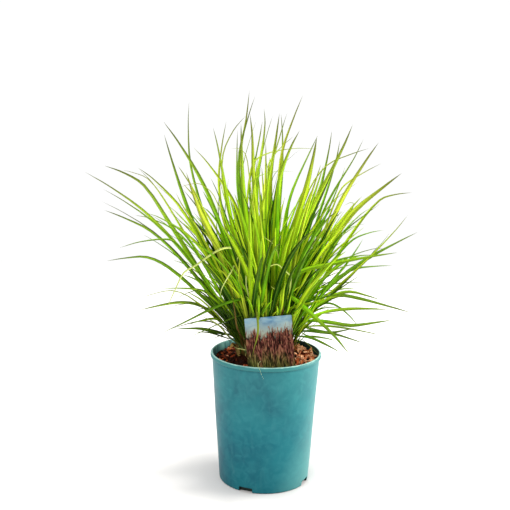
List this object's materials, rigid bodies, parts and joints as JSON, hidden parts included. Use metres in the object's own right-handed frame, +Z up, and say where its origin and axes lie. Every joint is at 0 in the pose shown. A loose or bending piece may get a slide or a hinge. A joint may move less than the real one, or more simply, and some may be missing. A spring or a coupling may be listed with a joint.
{
  "type": "potted ornamental grass clump",
  "caption": "Arching clump of fine ornamental grass growing in a deep round plastic nursery pot, with a stick-in picture label at the front.",
  "frame": {"origin": "centre of the pot's flat underside", "axes": "+Z up the plant, -Y towards the front, where the label stands, +X to the right as seen from the front"},
  "size_m": [0.4942, 0.4774, 0.5968],
  "materials": {
    "pot": "satin",
    "potting_mix": "matte",
    "crown": "matte",
    "leaf": "satin",
    "plant_label": "satin"
  },
  "bodies": {
    "root": {"crown": "crown", "plant_label": "plant_label", "pot": "pot", "potting_mix": "potting_mix", "shoot_01": "leaf", "shoot_02": "leaf", "shoot_03": "leaf", "shoot_04": "leaf", "shoot_05": "leaf", "shoot_06": "leaf", "shoot_07": "leaf", "shoot_08": "leaf", "shoot_09": "leaf", "shoot_10": "leaf", "shoot_11": "leaf", "shoot_12": "leaf", "shoot_13": "leaf", "shoot_14": "leaf", "shoot_15": "leaf", "shoot_16": "leaf", "shoot_17": "leaf", "shoot_18": "leaf", "shoot_19": "leaf", "shoot_20": "leaf", "shoot_21": "leaf", "shoot_22": "leaf", "shoot_23": "leaf", "shoot_24": "leaf", "shoot_25": "leaf", "shoot_26": "leaf", "shoot_27": "leaf", "shoot_28": "leaf", "shoot_29": "leaf", "shoot_30": "leaf", "shoot_31": "leaf", "shoot_32": "leaf", "shoot_33": "leaf", "shoot_34": "leaf", "shoot_35": "leaf", "shoot_36": "leaf", "shoot_37": "leaf", "shoot_38": "leaf", "shoot_39": "leaf", "shoot_40": "leaf", "shoot_41": "leaf", "shoot_42": "leaf", "shoot_43": "leaf", "shoot_44": "leaf", "shoot_45": "leaf", "shoot_46": "leaf", "shoot_47": "leaf", "shoot_48": "leaf", "shoot_49": "leaf", "shoot_50": "leaf", "shoot_51": "leaf", "shoot_52": "leaf", "shoot_53": "leaf", "shoot_54": "leaf"}
  },
  "joints": []
}
